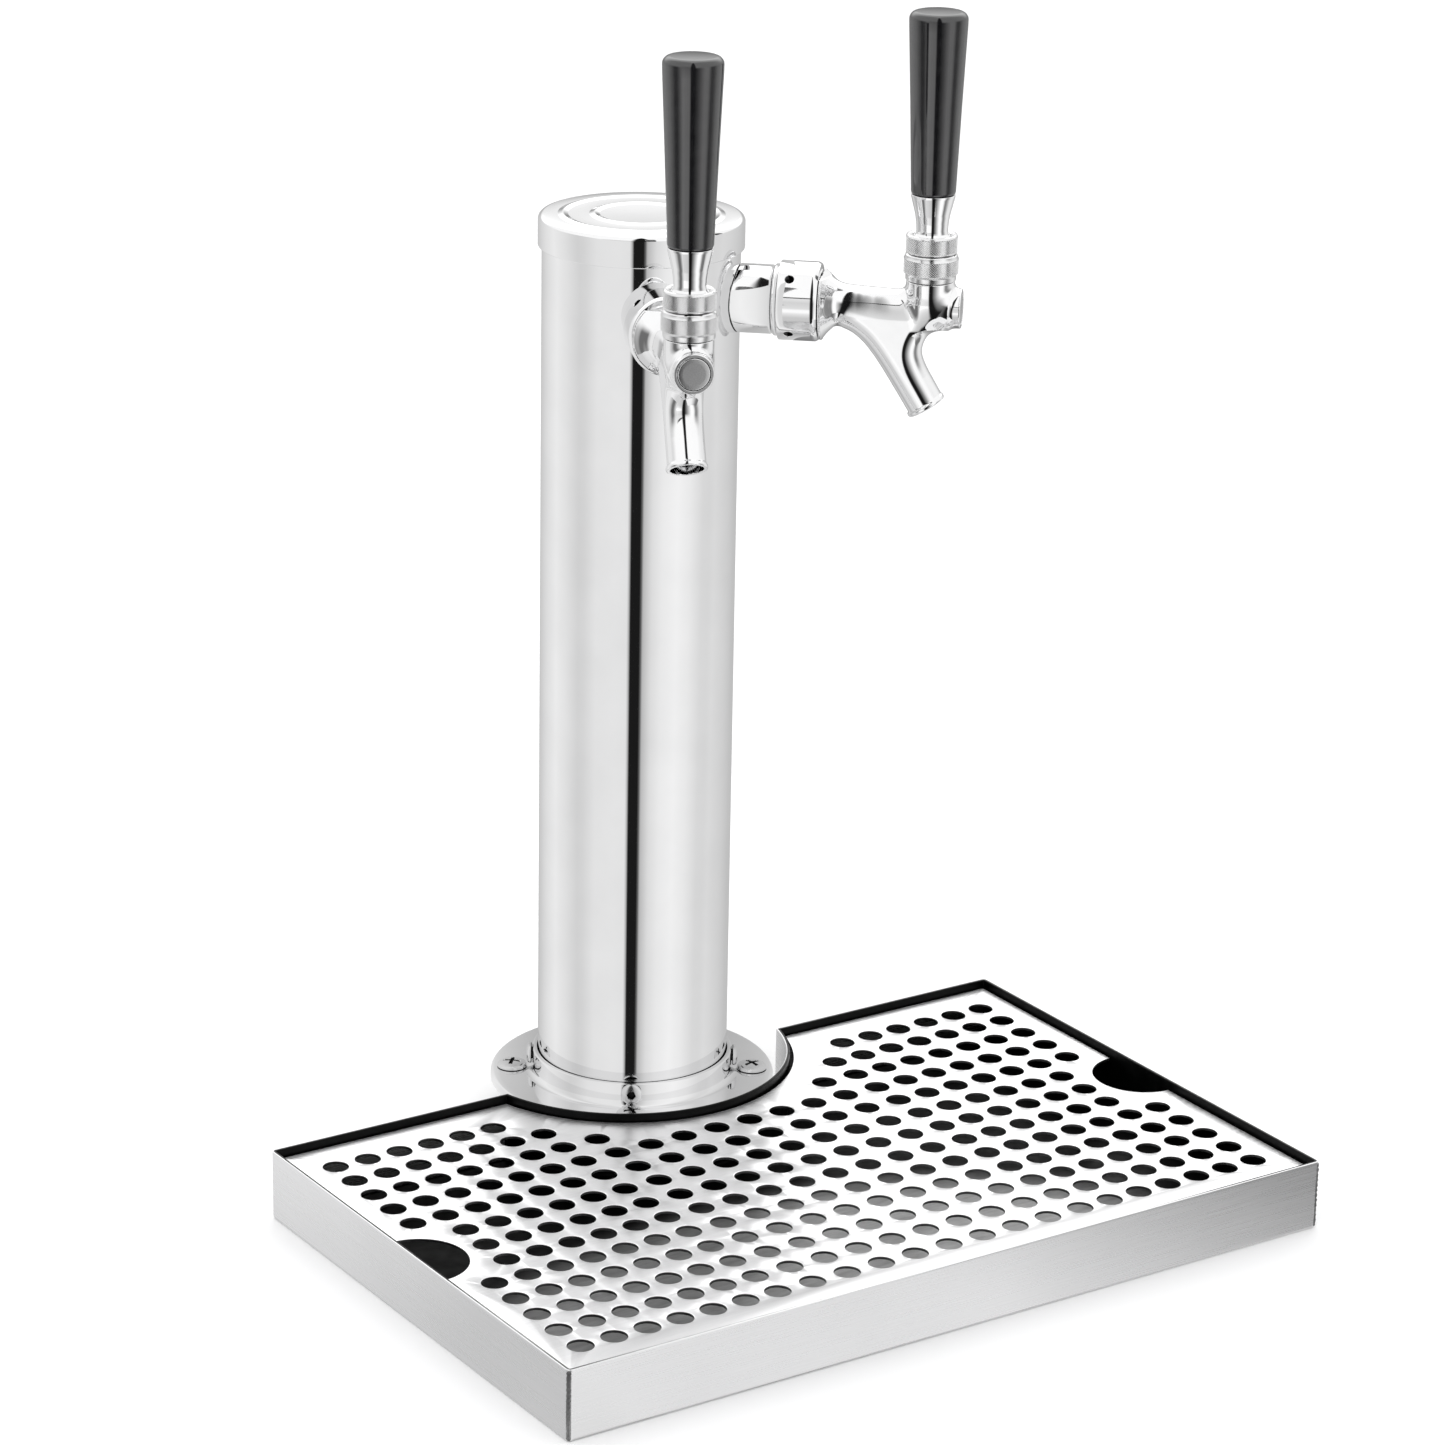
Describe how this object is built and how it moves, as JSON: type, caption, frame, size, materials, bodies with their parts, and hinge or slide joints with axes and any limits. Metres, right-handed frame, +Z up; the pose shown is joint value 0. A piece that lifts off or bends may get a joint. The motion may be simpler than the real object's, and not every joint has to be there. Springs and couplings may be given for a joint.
{
  "type": "beer tap tower",
  "caption": "Round chrome column with lever taps on shanks near its capped top, flanged to the bar, standing in the cut-out of a shallow drip tray with a punched lift-out grate.",
  "frame": {"origin": "the middle of the whole object's footprint, on the surface that it stands on", "axes": "+Z up along the column, -Y out of the long front side of the drip tray, +X to the right as seen from the front"},
  "size_m": [0.34, 0.2842, 0.4562],
  "materials": {
    "chrome": "polished chrome",
    "satin_chrome": "satin chrome, knurled on the rings",
    "screw_steel": "bright plated screw",
    "inner_steel": "machined steel, inside the tower",
    "brushed_tray": "fine brushed stainless sheet",
    "black_grip": "glossy black moulded plastic",
    "black_rubber": "matt black rubber"
  },
  "bodies": {
    "tower": {"base_spacer": "black_rubber", "base_flange": "chrome", "column_tube": "chrome", "flange_screw_1": "screw_steel", "flange_screw_2": "screw_steel", "flange_screw_3": "screw_steel", "flange_screw_4": "screw_steel", "set_screw_1": "screw_steel", "set_screw_2": "screw_steel", "set_screw_3": "screw_steel", "set_screw_4": "screw_steel", "shank_adapter_left": "chrome", "shank_left": "inner_steel", "shank_washer_left": "inner_steel", "shank_nut_left": "inner_steel", "tail_elbow_left": "inner_steel", "coupling_nut_left": "chrome", "faucet_body_left": "chrome", "shaft_cap_left": "satin_chrome", "bonnet_left": "satin_chrome", "lever_bushing_left": "black_rubber", "shank_adapter_right": "chrome", "shank_right": "inner_steel", "shank_washer_right": "inner_steel", "shank_nut_right": "inner_steel", "tail_elbow_right": "inner_steel", "coupling_nut_right": "chrome", "faucet_body_right": "chrome", "shaft_cap_right": "satin_chrome", "bonnet_right": "satin_chrome", "lever_bushing_right": "black_rubber"},
    "cap": {"top_cap": "chrome"},
    "handle_left": {"lever_left": "inner_steel", "handle_collar_left": "satin_chrome", "handle_ferrule_left": "chrome", "handle_grip_left": "black_grip"},
    "valve_left": {"plunger_left": "inner_steel", "plunger_seal_left": "black_rubber"},
    "handle_right": {"lever_right": "inner_steel", "handle_collar_right": "satin_chrome", "handle_ferrule_right": "chrome", "handle_grip_right": "black_grip"},
    "valve_right": {"plunger_right": "inner_steel", "plunger_seal_right": "black_rubber"},
    "tray": {"drip_tray": "brushed_tray"},
    "grate": {"drip_grate": "brushed_tray"}
  },
  "joints": [
    {"name": "handle_tilt_left", "type": "hinge", "parent": "tower", "child": "handle_left", "pos_m": [-0.04426, -0.01679, 0.3545], "axis": [0.9171, -0.3987, 0], "range_deg": [0, 30]},
    {"name": "valve_slide_left", "type": "slide", "parent": "tower", "child": "valve_left", "axis": [0.3987, 0.9171, 0], "range_m": [0, 0.00566]},
    {"name": "handle_tilt_right", "type": "hinge", "parent": "tower", "child": "handle_right", "pos_m": [0.08313, 0.01145, 0.3545], "axis": [0.6626, 0.749, 0], "range_deg": [0, 30]},
    {"name": "valve_slide_right", "type": "slide", "parent": "tower", "child": "valve_right", "axis": [-0.749, 0.6626, 0], "range_m": [0, 0.00566]},
    {"name": "cap_lift", "type": "slide", "parent": "tower", "child": "cap", "axis": [0, 0, 1], "range_m": [0, 0.04]},
    {"name": "tray_pull", "type": "slide", "parent": "tower", "child": "tray", "axis": [0, -1, 0], "range_m": [0, 0.12]},
    {"name": "grate_lift", "type": "slide", "parent": "tray", "child": "grate", "axis": [0, 0, 1], "range_m": [0, 0.06]}
  ],
  "couplings": [
    {"joint": "valve_slide_left", "follows": "handle_tilt_left", "m_per_rad": 0.0108},
    {"joint": "valve_slide_right", "follows": "handle_tilt_right", "m_per_rad": 0.0108}
  ]
}
